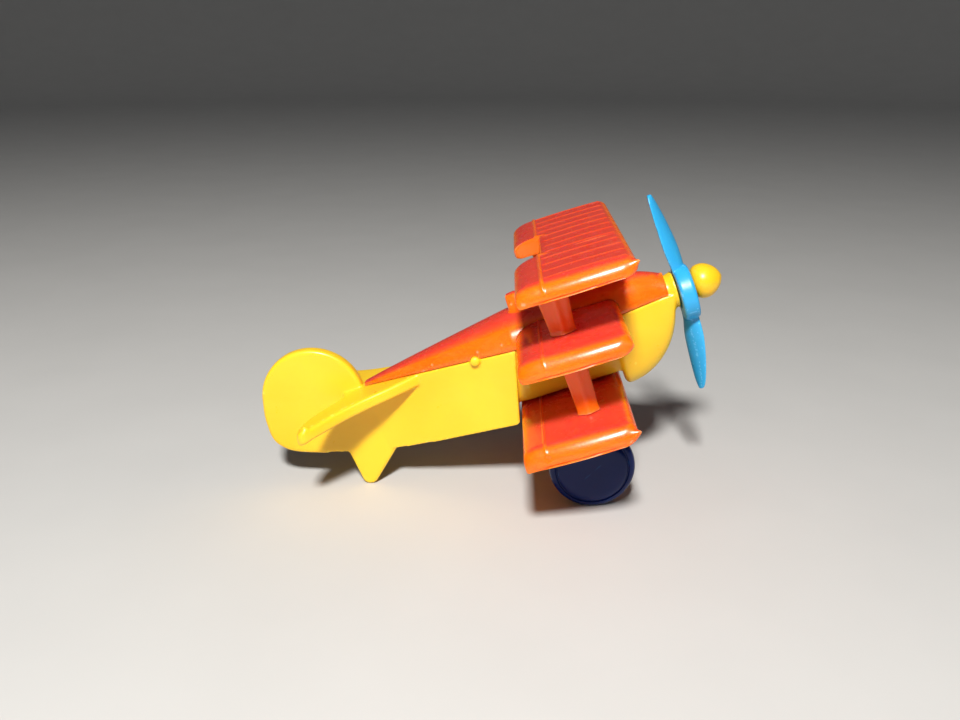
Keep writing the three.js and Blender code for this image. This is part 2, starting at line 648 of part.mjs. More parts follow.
// The left wheel: rounded tyre, a crease at the rim and a smooth dome, bored blind for the axle.
function wheel() {
  const inner = WHEEL_INNER_FACE;
  const outer = inner + TYRE_WIDTH;
  const profile = [[inner, 0], [inner, WHEEL_RADIUS - 1.2], [inner + 0.12, WHEEL_RADIUS - 0.7],
    [inner + 0.5, WHEEL_RADIUS - 0.2], [inner + 0.95, WHEEL_RADIUS - 0.02], [inner + 1.2, WHEEL_RADIUS],
    [inner + 1.5, WHEEL_RADIUS - 0.06], [outer - 0.2, WHEEL_RADIUS - 0.35], [outer, RIM_RADIUS]];
  const steps = 6;
  for (let i = 1; i <= steps; i += 1) {
    const t = i / steps;
    profile.push([outer + DOME_HEIGHT * Math.sin((t * Math.PI) / 2), RIM_RADIUS * Math.cos((t * Math.PI) / 2)]);
  }
  profile[profile.length - 1][1] = 0;
  const bore = rodY(inner - MARGIN, AXLE_LENGTH / 2 + SEAT_GAP, AXLE_RADIUS + FIT_GAP, 28);
  return turnedY(profile, 44).subtract(bore).translate([AXLE_X, 0, AXLE_Z]);
}

// ---- propeller -------------------------------------------------------------------------------

function blade() {
  const tip = PROP_DIAMETER / 2;
  const shares = [0.12, 0.26, 0.34, 0.45, 0.58, 0.72, 0.84, 0.93, 0.985, 1];
  const chords = [0.82, 0.78, 0.88, 1, 1, 0.93, 0.8, 0.62, 0.36, 0.12];
  const rings = shares.map((share, i) => {
    const radius = tip * share;
    const twist = THREE.MathUtils.degToRad(mix(BLADE_TWIST_ROOT, BLADE_TWIST_TIP, share));
    const half = (BLADE_CHORD * chords[i]) / 2;
    const thick = (BLADE_THICKNESS * mix(1.15, 0.5, share ** 2)) / 2;
    const back = -BLADE_RAKE * share ** 1.5;
    const ring = [];
    for (let j = 0; j < 12; j += 1) {
      const angle = (2 * Math.PI * j) / 12;
      const along = half * Math.cos(angle);
      const through = -thick * Math.sin(angle);
      const y = along * Math.cos(twist) - through * Math.sin(twist);
      const x = along * Math.sin(twist) + through * Math.cos(twist);
      ring.push([radius, x + back, y]);
    }
    return ring;
  });
  // The loft runs along its first coordinate, which is the blade's radius: turn it up to z.
  return loft(rings).transform([0, 0, 1, 0, 1, 0, 0, 0, 0, 1, 0, 0, 0, 0, 0, 1]);
}

// Drawn round its own axis, with the hub's middle at the origin.
function propeller() {
  const half = HUB_LENGTH / 2;
  const hub = turnedX([
    [-half, 0], [-half, HUB_RADIUS - 0.25], [-half + 0.25, HUB_RADIUS], [half - 0.25, HUB_RADIUS],
    [half, HUB_RADIUS - 0.25], [half, 0],
  ], 40);
  const one = blade();
  const other = one.rotate([180, 0, 0]);
  return hub.add(one).add(other).subtract(rodX(-MARGIN, MARGIN, HUB_BORE, 32));
}

function propellerPin() {
  const rear = HUB_FRONT + END_PLAY;
  const k = KNOB_RADIUS;
  const length = KNOB_LENGTH;
  return turnedX([
    [FACE_X - PIN_DEPTH + SEAT_GAP, 0],
    [FACE_X - PIN_DEPTH + SEAT_GAP, SHAFT_RADIUS - 0.3],
    [FACE_X - PIN_DEPTH + SEAT_GAP + 0.4, SHAFT_RADIUS],
    [rear, SHAFT_RADIUS],
    [rear, k * 0.74],
    [rear + length * 0.08, k * 0.87],
    [rear + length * 0.2, k * 0.96],
    [rear + length * 0.34, k],
    [rear + length * 0.5, k * 0.96],
    [rear + length * 0.66, k * 0.84],
    [rear + length * 0.8, k * 0.66],
    [rear + length * 0.9, k * 0.47],
    [rear + length * 0.97, k * 0.27],
    [rear + length, k * 0.12],
    [rear + length, 0],
  ]);
}

// ---- assembly --------------------------------------------------------------------------------

const aircraft = new THREE.Group();

function place(parent, name, solid, material, position = [0, 0, 0], turn = 0) {
  const mesh = new THREE.Mesh(toGeometry(solid), material);
  mesh.name = name;
  mesh.position.set(...position);
  mesh.rotation.z = turn;
  parent.add(mesh);
  return mesh;
}

place(aircraft, 'lower_fuselage', lowerFuselage(), yellow());
place(aircraft, 'upper_deck', upperDeck(), orange());
place(aircraft, 'top_wing', topWing(), orange());
place(aircraft, 'middle_wing', middleWing(), orange());
place(aircraft, 'lower_wing', lowerWing(), orange());
for (const [side, y] of [['left', 1], ['right', -1]]) {
  place(aircraft, `upper_strut_${side}`, upperStrut(), orange(), [0, (y * STRUT_SPACING) / 2, 0]);
  place(aircraft, `lower_strut_${side}`, lowerStrut(), orange(), [0, (y * STRUT_SPACING) / 2, 0]);
  place(aircraft, `undercarriage_leg_${side}`, leg(), orange(), [0, (y * LEG_SPACING) / 2, 0]);
}

const wheelset = new THREE.Group();
place(wheelset, 'axle', axle(), navy());
place(wheelset, 'wheel_left', wheel(), navy());
place(wheelset, 'wheel_right', wheel(), navy(), [2 * AXLE_X, 0, 0], Math.PI);
aircraft.add(wheelset);

place(aircraft, 'propeller', propeller(), blue(), [(HUB_REAR + HUB_FRONT) / 2, 0, -HUB_SAG]);
place(aircraft, 'propeller_pin', propellerPin(), yellow());

// Stand the aircraft on its wheels and skid: the ground touches the skid tip's arc and the tyres.
const run = AXLE_X - SKID_TIP_X;
const rise = AXLE_Z + SKID_DROP - SKID_TIP_RADIUS;
const pitch = Math.asin((WHEEL_RADIUS - SKID_TIP_RADIUS) / Math.hypot(run, rise)) - Math.atan2(rise, run);
aircraft.rotation.y = -pitch;

const model = new THREE.Group();
model.add(aircraft);
model.updateMatrixWorld(true);
const bounds = new THREE.Box3().setFromObject(aircraft, true);
aircraft.position.set(-(bounds.min.x + bounds.max.x) / 2, -(bounds.min.y + bounds.max.y) / 2, -bounds.min.z);
model.updateMatrixWorld(true);

export default model;
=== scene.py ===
"""Looks of a toy triplane in moulded plastic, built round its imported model.

Shapes are drawn in the aircraft's own frame, in millimetres: +X forward along the propeller shaft,
+Y to the left wing tip, +Z up, with the shaft line at z = 0 and the skid tip at x = 0. settle() turns
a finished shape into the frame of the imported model, in metres.
"""

import json
import math

import bmesh
import bpy
from mathutils import Matrix, Vector


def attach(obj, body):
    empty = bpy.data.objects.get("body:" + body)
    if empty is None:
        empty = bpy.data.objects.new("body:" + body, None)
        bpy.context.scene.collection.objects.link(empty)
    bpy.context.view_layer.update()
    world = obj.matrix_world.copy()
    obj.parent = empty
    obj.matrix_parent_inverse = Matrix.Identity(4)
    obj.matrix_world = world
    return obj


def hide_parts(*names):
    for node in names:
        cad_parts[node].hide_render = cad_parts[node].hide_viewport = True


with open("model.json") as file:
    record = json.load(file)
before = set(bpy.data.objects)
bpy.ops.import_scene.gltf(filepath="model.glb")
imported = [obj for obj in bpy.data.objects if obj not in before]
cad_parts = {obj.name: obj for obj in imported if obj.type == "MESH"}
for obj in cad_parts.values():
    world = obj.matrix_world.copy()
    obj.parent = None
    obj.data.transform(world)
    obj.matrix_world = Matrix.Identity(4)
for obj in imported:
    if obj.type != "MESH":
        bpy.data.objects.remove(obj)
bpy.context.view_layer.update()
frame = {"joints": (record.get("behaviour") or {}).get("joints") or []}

# ---- the aircraft's frame ----------------------------------------------------------------------

MM = 0.001
HUB_MIDDLE = Vector((42.095, 0, -0.7))
JOINTS = {joint["name"]: joint for joint in frame["joints"]}


def aircraft_to_model():
    """From millimetres in the aircraft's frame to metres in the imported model's frame."""
    spin = JOINTS["propeller_spin"]
    shaft = Vector(spin["axis"])
    nose_up = Matrix.Rotation(-math.atan2(shaft.z, shaft.x), 4, "Y")
    return (
        Matrix.Translation(Vector(spin["pos_m"]))
        @ nose_up
        @ Matrix.Scale(MM, 4)
        @ Matrix.Translation(-HUB_MIDDLE)
    )


TO_MODEL = aircraft_to_model()
TO_AIRCRAFT = TO_MODEL.inverted()
AXLE = TO_AIRCRAFT @ Vector(JOINTS["wheelset_roll"]["pos_m"])

# ---- sizes, millimetres ------------------------------------------------------------------------

STEP_X = 22.3                # where the deep tub ends behind the wings
NOSE_X = 32.9                # back of the chin
FACE_X = 40.1                # front of the nose
DECK_TIP_X = 3.9
TUB_DEPTH = 8.7
STEP_SLANT = 2.2
TAIL_HALF = 0.8
TUB_HALF = 4.6
NOSE_HALF = 3.6
BOSS_RADIUS = 2.1
SEAM = 0.1                   # deck above tub
BELLY_BASE = -6.9
CHIN_DEPTH = 9.05
CHIN_POWER = 2.1
CHIN_LENGTH = 7.7
CHIN_ROUNDING = 0.7
LUG_X = 17.6
DECK_RIDGE = 3.4
DECK_FALL_X = 36.1           # where the deck starts to fall towards the nose
COCKPIT_X = 26.5
COCKPIT_FLOOR = 2.45
COCKPIT_RADII = (2.0, 1.7)
COAMING_RADIUS = 0.28
HEADREST_FOOT = 2.4
HEADREST_HEIGHT = 2.7
LUG_RADIUS = 0.55
LUG_REACH = 4.2

RUDDER = (-2.5, 0.3)         # middle, x and z
RUDDER_RADIUS = 6.1
SKID_TIP = (0.35, -11.1)
SKID_TIP_RADIUS = 1.0
TAILPLANE_HALF = 9.8
TAILPLANE_THICKNESS = 1.4

HALF_SPAN = 16.2
TIP_ROUNDING = 1.7
TIP_EDGE = 0.14              # share of the thickness left at the very tip
TIP_CORNERS = (0.55, 1.3)    # plan rounding at the trailing and the leading edge
TIP_BARREL = 0.45            # how far a tip falls back towards its two ends
RIB_PITCH = 2.6
WING_ROLL = 2.4              # reach of the rolled-down trailing edge
NOTCH_HALF = 4.65
NOTCH_DEPTH = 3.1
# base height, thickness, trailing edge, chord, and the hinge line's distance from the trailing edge
TOP_WING = (7.55, 1.9, 24.9, 12.1, 2.95)
MIDDLE_WING = (0.1, 2.1, 22.8, 11.7, 2.9)
LOWER_WING = (-9.2, 2.2, 20.5, 12.0, 2.6)

STRUT_X = 28.2
STRUT_Y = 10.2
WHEEL_RADIUS = 4.9
WHEEL_INNER = 3.8
TYRE_WIDTH = 2.05
RIM_RADIUS = 4.1
DOME = 0.75
LEG_Y = 2.8
PROP_RADIUS = 11.75
HUB_RADIUS = 3.1
HUB_HALF = 0.875
HUB_BORE = 1.7

# ---- mesh making -------------------------------------------------------------------------------


def mix(a, b, t):
    return a + (b - a) * t


def smooth(t):
    t = min(1.0, max(0.0, t))
    return t * t * (3 - 2 * t)


def bell(distance, width):
    return math.exp(-((distance / width) ** 2))


def steps(low, high, count):
    return [mix(low, high, i / count) for i in range(count + 1)]


def through(points, per_span):
    """A Catmull-Rom curve through given points."""
    points = [Vector(p) for p in points]
    count = len(points)
    curve = []
    for i in range(count - 1):
        a, b = points[max(0, i - 1)], points[i]
        c, d = points[i + 1], points[min(count - 1, i + 2)]
        for j in range(per_span):
            t = j / per_span
            curve.append(0.5 * (
                2 * b + (c - a) * t + (2 * a - 5 * b + 4 * c - d) * t * t
                + (3 * b - a - 3 * c + d) * t ** 3
            ))
    curve.append(points[-1])
    return curve


def arc(centre, radius, start, end, count):
    """Points on a circle, angles in degrees."""
    return [
        (centre[0] + radius * math.cos(math.radians(a)), centre[1] + radius * math.sin(math.radians(a)))
        for a in steps(start, end, count)
    ]


def new_object(name, verts, faces):
    mesh = bpy.data.meshes.new(name)
    mesh.from_pydata([tuple(v) for v in verts], [], faces)
    work = bmesh.new()
    work.from_mesh(mesh)
    bmesh.ops.remove_doubles(work, verts=work.verts, dist=1e-5)
    bmesh.ops.recalc_face_normals(work, faces=work.faces)
    work.to_mesh(mesh)
    work.free()
    obj = bpy.data.objects.new(name, mesh)
    bpy.context.scene.collection.objects.link(obj)
    return obj


def skin(name, rings):
    """A closed skin over rings of equal count, with a fan at each end."""
    count = len(rings[0])
    verts = [Vector(p) for ring in rings for p in ring]
    faces = []
    for i in range(len(rings) - 1):
        for j in range(count):
            a, b = i * count + j, i * count + (j + 1) % count
            faces.append((a, b, b + count, a + count))
    for start in (0, (len(rings) - 1) * count):
        middle = sum(verts[start:start + count], Vector()) / count
        verts.append(middle)
        for j in range(count):
            faces.append((len(verts) - 1, start + j, start + (j + 1) % count))
    return new_object(name, verts, faces)


def turned(name, profile, axis, centre=(0, 0, 0), segments=96):
    """A turned piece from (distance along the axis, radius) points, first and last at radius 0."""
    rings = []
    for along, radius in profile[1:-1]:
        ring = []
        for j in range(segments):
            angle = 2 * math.pi * j / segments
            side, up = radius * math.cos(angle), radius * math.sin(angle)
            point = (along, side, up) if axis == "X" else (side, along, up)
            ring.append(Vector(point) + Vector(centre))
        rings.append(ring)
    return skin(name, rings)


def plate(name, outline, low, high, bevel, view="side", holes=()):
    """A plate with rounded edges. view says what the outline's two numbers are: side is x and z, and
    plan is x and y. low and high are its two faces along the third."""
    curve = bpy.data.curves.new(name, "CURVE")
    curve.dimensions = "2D"
    curve.fill_mode = "BOTH"
    curve.extrude = (high - low) / 2 - bevel
    curve.bevel_depth = bevel
    curve.bevel_resolution = 3
    curve.offset = -bevel
    for loop in (outline, *holes):
        spline = curve.splines.new("POLY")
        spline.points.add(len(loop) - 1)
        for point, place in zip(spline.points, loop):
            point.co = (place[0], place[1], 0, 1)
        spline.use_cyclic_u = True
    holder = bpy.data.objects.new(name, curve)
    bpy.context.scene.collection.objects.link(holder)
    flat = bpy.data.meshes.new_from_object(holder.evaluated_get(bpy.context.evaluated_depsgraph_get()))
    bpy.data.objects.remove(holder)
    middle = (low + high) / 2
    verts = [
        (v.co.x, v.co.z + middle, v.co.y) if view == "side" else (v.co.x, v.co.y, v.co.z + middle)
        for v in flat.vertices
    ]
    return new_object(name, verts, [tuple(f.vertices) for f in flat.polygons])


def apply_modifiers(obj):
    graph = bpy.context.evaluated_depsgraph_get()
    obj.data = bpy.data.meshes.new_from_object(obj.evaluated_get(graph))
    obj.modifiers.clear()


def moulded(name, shells, grain, softness):
    """Closed shells melted into one skin of quads about grain wide, its edges softened."""
    work = bmesh.new()
    for shell in shells:
        work.from_mesh(shell.data)
        bpy.data.objects.remove(shell)
    mesh = bpy.data.meshes.new(name)
    work.to_mesh(mesh)
    work.free()
    obj = bpy.data.objects.new(name, mesh)
    bpy.context.scene.collection.objects.link(obj)
    melt = obj.modifiers.new("melt", "REMESH")
    melt.mode = "VOXEL"
    melt.voxel_size = grain
    melt.use_smooth_shade = True
    soften = obj.modifiers.new("soften", "SMOOTH")
    soften.factor = 0.5
    soften.iterations = softness
    apply_modifiers(obj)
    return obj


def cut(obj, tool):
    carve = obj.modifiers.new("cut", "BOOLEAN")
    carve.object = tool
    carve.operation = "DIFFERENCE"
    carve.solver = "EXACT"
    apply_modifiers(obj)
    bpy.data.objects.remove(tool)


def pull(obj, centre, push, reach):
    """Draws the surface near a point outward, as flash or a sprue mark stands out."""
    centre, push = Vector(centre), Vector(push)
    for vertex in obj.data.vertices:
        share = bell((vertex.co - centre).length, reach)
        if share > 0.01:
            vertex.co += push * share


# ---- materials ---------------------------------------------------------------------------------


def node(tree, kind, **inputs):
    made = tree.nodes.new(kind)
    for key, value in inputs.items():
        made.inputs[key.replace("_", " ")].default_value = value
    return made


def noise(tree, place, scale, detail=3.0, roughness=0.5):
    made = node(tree, "ShaderNodeTexNoise", Scale=scale, Detail=detail, Roughness=roughness)
    tree.links.new(place, made.inputs["Vector"])
    return made.outputs["Fac"]


def spread(tree, value, low, high, to_low=0.0, to_high=1.0):
    made = tree.nodes.new("ShaderNodeMapRange")
    for key, number in (("From Min", low), ("From Max", high), ("To Min", to_low), ("To Max", to_high)):
        made.inputs[key].default_value = number
    tree.links.new(value, made.inputs["Value"])
    return made.outputs["Result"]


def blend_colour(tree, share, a, b):
    made = tree.nodes.new("ShaderNodeMix")
    made.data_type = "RGBA"
    tree.links.new(share, made.inputs["Factor"])
    for value, socket in ((a, made.inputs[6]), (b, made.inputs[7])):
        if hasattr(value, "links"):
            tree.links.new(value, socket)
        else:
            socket.default_value = (*value, 1)
    return made.outputs[2]


def plastic(
    slot, colour, deep, worn_and_highlight, top_painted_shade=None, roughness=(0.26, 0.4), inside=0.0, reach=(1, 1, 1), depth=0.002,
    ior=1.5,
):
    """Glossy moulded plastic: slow colour drift, flow marks along the mould, specks, rubbed edges that also
    carry painted highlight lines, uneven gloss and a faint orange-peel skin. The tone for upward faces is
    painted shade and sheen, a darker, duller tone than the sides, and inside is the share of light that goes
    through the plastic."""
    material = bpy.data.materials.new("moulded_" + slot)
    material.use_nodes = True
    tree = material.node_tree
    shader = tree.nodes["Principled BSDF"]
    place = tree.nodes.new("ShaderNodeTexCoord").outputs["Object"]

    drift = spread(tree, noise(tree, place, 110, 1), 0.3, 0.75)
    body = blend_colour(tree, drift, colour, deep)
    # Faces turned up are mixed toward a darker, duller tone: painted shade and sheen.
    if top_painted_shade:
        up = tree.nodes.new("ShaderNodeVectorMath")
        up.operation = "DOT_PRODUCT"
        up.inputs[1].default_value = (TO_MODEL.to_3x3() @ Vector((0, 0, 1))).normalized()
        tree.links.new(tree.nodes["Texture Coordinate"].outputs["Normal"], up.inputs[0])
        body = blend_colour(tree, spread(tree, up.outputs["Value"], 0.78, 0.94), body, top_painted_shade)

    stretched = tree.nodes.new("ShaderNodeMapping")
    stretched.inputs["Scale"].default_value = (0.25, 1, 1)
    tree.links.new(place, stretched.inputs["Vector"])
    flow = spread(tree, noise(tree, stretched.outputs["Vector"], 900, 4, 0.6), 0.5, 0.85, 0, 0.08)
    body = blend_colour(tree, flow, body, worn_and_highlight)

    specks = spread(tree, noise(tree, place, 5200, 1), 0.76, 0.82, 0, 0.15)
    body = blend_colour(tree, specks, body, deep)

    # Sharp edges, ribs and ridges are lightened: partly rubbed wear, partly painted highlight lines.
    edge = tree.nodes.new("ShaderNodeNewGeometry").outputs["Pointiness"]
    rubbed_and_highlight = spread(tree, edge, 0.534, 0.6, 0, 0.7)
    body = blend_colour(tree, rubbed_and_highlight, body, worn_and_highlight)
    tree.links.new(body, shader.inputs["Base Color"])

    gloss = spread(tree, noise(tree, place, 420, 5, 0.65), 0.3, 0.7, *roughness)
    tree.links.new(gloss, shader.inputs["Roughness"])

    peel = noise(tree, place, 1500, 3, 0.55)
    bump = node(tree, "ShaderNodeBump", Strength=0.06, Distance=0.0002)
    tree.links.new(peel, bump.inputs["Height"])
    waves = noise(tree, stretched.outputs["Vector"], 260, 2)
    sink = node(tree, "ShaderNodeBump", Strength=0.05, Distance=0.0006)
    tree.links.new(waves, sink.inputs["Height"])
    tree.links.new(bump.outputs["Normal"], sink.inputs["Normal"])
    tree.links.new(sink.outputs["Normal"], shader.inputs["Normal"])

    shader.inputs["Subsurface Weight"].default_value = inside
    shader.inputs["Subsurface Radius"].default_value = reach
    shader.inputs["Subsurface Scale"].default_value = depth
    shader.inputs["IOR"].default_value = ior
    return material


YELLOW = "yellow_plastic", plastic(
    "yellow_plastic", (0.96, 0.61, 0.025), (0.93, 0.53, 0.012), (1.0, 0.74, 0.11),
    inside=0.35, reach=(1.0, 0.55, 0.06), depth=0.0012,
)
# Its upward faces get a darker, duller red: painted shade and sheen.
ORANGE = "orange_plastic", plastic(
    "orange_plastic", (1.0, 0.17, 0.002), (1.0, 0.13, 0.002), (1.0, 0.36, 0.2), top_painted_shade=(0.68, 0.05, 0.028),
    roughness=(0.2, 0.32), inside=0.5, reach=(1.0, 0.07, 0.01), depth=0.003,
)
BLUE = "blue_plastic", plastic(
    "blue_plastic", (0.033, 0.4, 0.76), (0.025, 0.35, 0.7), (0.13, 0.55, 0.92),
    inside=0.15, reach=(0.1, 0.5, 1.0), depth=0.0008,
)
NAVY = "navy_plastic", plastic(
    "navy_plastic", (0.001, 0.012, 0.11), (0.001, 0.008, 0.08), (0.002, 0.035, 0.16),
    roughness=(0.14, 0.26), ior=1.32,
)
PIN = "pin_plastic", plastic(
    "pin_plastic", (0.96, 0.6, 0.02), (0.93, 0.52, 0.012), (1.0, 0.75, 0.12),
    inside=0.35, reach=(1.0, 0.55, 0.06), depth=0.0012,
)


def settle(obj, finish, body, *nodes):
    """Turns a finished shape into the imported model's frame and hands it to the frame."""
    slot, material = finish
    obj.data.transform(TO_MODEL)
    obj.data.materials.clear()
    obj.data.materials.append(material)
    for face in obj.data.polygons:
        face.use_smooth = True
    obj.data.set_sharp_from_angle(angle=math.radians(40))
    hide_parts(*nodes)
    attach(obj, body)
    return obj


# ---- fuselage ----------------------------------------------------------------------------------


def half_width(x):
    if x <= STEP_X:
        return mix(TAIL_HALF, TUB_HALF, max(0.0, (x - DECK_TIP_X) / (STEP_X - DECK_TIP_X)))
    if x <= NOSE_X:
        return mix(TUB_HALF, NOSE_HALF, (x - STEP_X) / (NOSE_X - STEP_X))
    return mix(NOSE_HALF, BOSS_RADIUS, smooth((x - NOSE_X) / (FACE_X - NOSE_X)))


def tub():
    """The flat-sided tail half: wide at the seam, its bottom rising into the rudder."""
    bottom = through([(-3.5, -6.6), (-2.5, -6.8), (1.5, -7.95), (5.5, -8.5), (10.0, -TUB_DEPTH)], 12)
    rings = []
    for x in steps(-3.5, STEP_X, 60):
        foot = min(bottom, key=lambda p: abs(p.x - x)).y if x < 10 else -TUB_DEPTH
        lean = (STEP_X - x) / STEP_SLANT
        foot = max(foot, -TUB_DEPTH * min(1.0, lean)) if x > STEP_X - STEP_SLANT else foot
        half = half_width(x)
        rings.append([(x, -half, 0), (x, half, 0), (x, half, min(foot, -0.05)), (x, -half, min(foot, -0.05))])
    return skin("tub", rings)


def under_arch(x, half, depth, power):
    """The lower half of a superellipse, closed along the seam."""
    ring = []
    for angle in steps(0, math.pi, 28):
        side, down = math.cos(angle), math.sin(angle)
        y = half * math.copysign(abs(side) ** (2 / power), side)
        ring.append((x, y, -depth * down ** (2 / power)))
    return ring


def chin():
    rings = []
    for i in range(61):
        t = math.sin(0.5 * math.pi * i / 60) * 0.995
        x = NOSE_X + CHIN_LENGTH * t
        depth = CHIN_DEPTH * (1 - t ** CHIN_POWER) ** (1 / CHIN_POWER)
        back = max(0.0, 1 - (x - NOSE_X) / CHIN_ROUNDING)
        inset = CHIN_ROUNDING * (1 - math.sqrt(1 - back * back))
        rings.append(under_arch(x, half_width(x) - 0.4 * inset, max(depth - inset, BOSS_RADIUS), 2.5))
    return skin("chin", rings)


def belly():
    return skin("belly", [
        under_arch(x, half_width(x) - 0.5, -BELLY_BASE, 5) for x in steps(STEP_X - 1.5, NOSE_X + 1.5, 8)
    ])


def rudder_outline():
    """A disc with a heel at its lower rear."""
    middle = Vector(RUDDER)
    heel = []
    for angle, swell in ((175, 0.13), (187, 0.45), (205, 1.2), (217, 1.38), (232, 1.15), (262, 1.0)):
        turn = math.radians(angle)
        heel.append(middle + (RUDDER_RADIUS + swell) * Vector((math.cos(turn), math.sin(turn))))
    disc = arc(RUDDER, RUDDER_RADIUS, -98, 160, 60)
    return [Vector(p) for p in disc] + through(heel, 6)


def skid_outline():
    x = SKID_TIP[0]
    return [
        (x - SKID_TIP_RADIUS - 0.35, -6.5),
        *arc(SKID_TIP, SKID_TIP_RADIUS, 180, 311, 14),
        (x + 4.8, -8.2),
        (x + 4.8, -6.5),
    ]


def tailplane_outline():
    half = TAILPLANE_HALF
    edge = through([
        (10.5, half * 0.23), (7.3, half * 0.4), (4.4, half * 0.53), (1.7, half * 0.7), (-1.2, half * 0.95),
        (-2.2, half), (-2.8, half * 0.92), (-2.3, half * 0.66), (-0.6, half * 0.42), (1.2, half * 0.24),
    ], 5)
    return [(10.9, 1.5), *edge, *[(p.x, -p.y) for p in reversed(edge)], (10.9, -1.5)]


def lower_fuselage():
    boss = turned("boss", [
        (34, 0), (34, 1.9), (FACE_X - 0.4, 1.9), (FACE_X + 0.2, BOSS_RADIUS - 0.25),
        (FACE_X + 0.6, BOSS_RADIUS - 0.12), (FACE_X + 0.95, BOSS_RADIUS), (FACE_X + 1.0, BOSS_RADIUS),
        (41, 0),
    ], "X")
    lug = turned("lug", [
        (-LUG_REACH, 0), (-LUG_REACH, LUG_RADIUS - 0.2), (-LUG_REACH + 0.15, LUG_RADIUS),
        (LUG_REACH - 0.15, LUG_RADIUS), (LUG_REACH, LUG_RADIUS - 0.2), (LUG_REACH, 0),
    ], "Y", centre=(LUG_X, 0, 0), segments=32)
    body = moulded("lower_fuselage_shell", [
        tub(), belly(), chin(), boss, lug,
        plate("rudder", rudder_outline(), -TAIL_HALF, TAIL_HALF, 0.4),
        plate("skid", skid_outline(), -TAIL_HALF, TAIL_HALF, 0.3),
        plate("tailplane", tailplane_outline(), -TAILPLANE_THICKNESS, 0, 0.35, view="plan"),
    ], 0.14, 5)
    for side in (1, -1):
        pull(body, (-2.4, side * 9.3, -0.9), (-0.25, side * 0.1, -0.35), 0.6)
        pull(body, (-1.7, side * 9.2, -0.1), (0, 0, 0.4), 0.35)
    settle(body, YELLOW, "airframe", "lower_fuselage")


def deck_section(x, half, height):
    """From the right seam over the ridge to the left: a steep side, a soft chine and a top facet."""
    corner = [(1.0, 0.0), (0.985, 0.2), (0.9, 0.48), (0.76, 0.7), (0.52, 0.87), (0.25, 0.97), (0.0, 1.0)]
    side = through([(y * half, z * height) for y, z in corner], 5)
    right = [(x, -p.x, SEAM + p.y) for p in side]
    left = [(x, p.x, SEAM + p.y) for p in reversed(side)][1:]
    return right + left


def deck_ridge(x):
    if x <= STEP_X:
        return mix(0.25, DECK_RIDGE, ((x - DECK_TIP_X) / (STEP_X - DECK_TIP_X)) ** 0.9)
    if x <= DECK_FALL_X:
        return DECK_RIDGE
    share = (x - DECK_FALL_X) / (FACE_X - DECK_FALL_X)
    return mix(DECK_RIDGE, BOSS_RADIUS - 0.05, share ** 1.6)


def wing_room():
    """The middle wing's section, a hair larger, right across the fuselage."""
    low, thick, rear, chord, hinge = MIDDLE_WING
    grow = 0.04
    section = wing_section(chord + 2 * grow, thick + 2 * grow, WING_ROLL, hinge, 0)
    return skin("wing_room", [[(rear - grow + a, y, low - grow + z) for a, z in section] for y in (-9, 9)])


def coaming():
    """A low rounded rim round the cockpit, lying on the deck."""
    rings = []
    for turn in steps(0, 2 * math.pi, 48):
        x = COCKPIT_X + (COCKPIT_RADII[0] + 0.2) * math.cos(turn)
        y = (COCKPIT_RADII[1] + 0.2) * math.sin(turn)
        out = Vector((math.cos(turn), math.sin(turn), 0))
        z = SEAM + DECK_RIDGE - 0.16 * y * y
        rings.append([
            Vector((x, y, z)) + COAMING_RADIUS * (math.cos(a) * out + math.sin(a) * Vector((0, 0, 1)))
            for a in steps(0, 2 * math.pi, 12)[:-1]
        ])
    return skin("coaming", rings)


def upper_deck():
    xs = steps(DECK_TIP_X, STEP_X, 36) + steps(STEP_X, FACE_X, 48)[1:]
    shell = skin("deck", [deck_section(x, half_width(x), deck_ridge(x)) for x in xs])
    headrest = []
    for along, half, rise in (
        (0, 0.75, -0.15), (0.15, 0.95, 0.2), (1.1, 1.2, 0.3), (1.7, 1.25, 0.1), (2.0, 1.1, -0.3),
    ):
        ring = []
        for i in range(33):
            angle = math.pi * i / 32
            side = math.copysign(abs(math.cos(angle)) ** 0.7, math.cos(angle))
            flare = 0.5 * bell(angle, 0.35) - 0.5 * bell(math.pi - angle, 0.35)
            height = (HEADREST_HEIGHT + rise) * math.sin(angle) ** 0.7
            ring.append((STEP_X + 0.4 + along, half * side + flare, HEADREST_FOOT + height))
        headrest.append(ring)
    body = moulded("upper_deck_shell", [shell, skin("headrest", headrest), coaming()], 0.12, 6)
    cut(body, wing_room())
    cut(body, turned("boss_room", [(32, 0), (32, 2.05), (45, 2.05), (45, 0)], "X", segments=48))
    pull(body, (STEP_X + 0.35, -0.5, 5.3), (-0.25, -0.1, 0.6), 0.22)
    pull(body, (FACE_X - 1.2, -0.9, 3.0), (0.1, -0.1, 0.3), 0.3)
    pull(body, (FACE_X - 0.2, -0.4, 2.3), (0.2, -0.1, 0.25), 0.25)
    long, wide = COCKPIT_RADII
    cockpit = [
        (COCKPIT_X + long * math.cos(a), wide * math.sin(a)) for a in steps(0, 2 * math.pi, 48)[:-1]
    ]
    cut(body, plate("cockpit", cockpit, COCKPIT_FLOOR, 9, 0.01, view="plan"))
    lug_room = [(-9, 0), (-9, LUG_RADIUS + 0.05), (9, LUG_RADIUS + 0.05), (9, 0)]
    cut(body, turned("lug_room", lug_room, "Y", centre=(LUG_X, 0, 0), segments=40))
    settle(body, ORANGE, "airframe", "upper_deck")


# ---- wings -------------------------------------------------------------------------------------


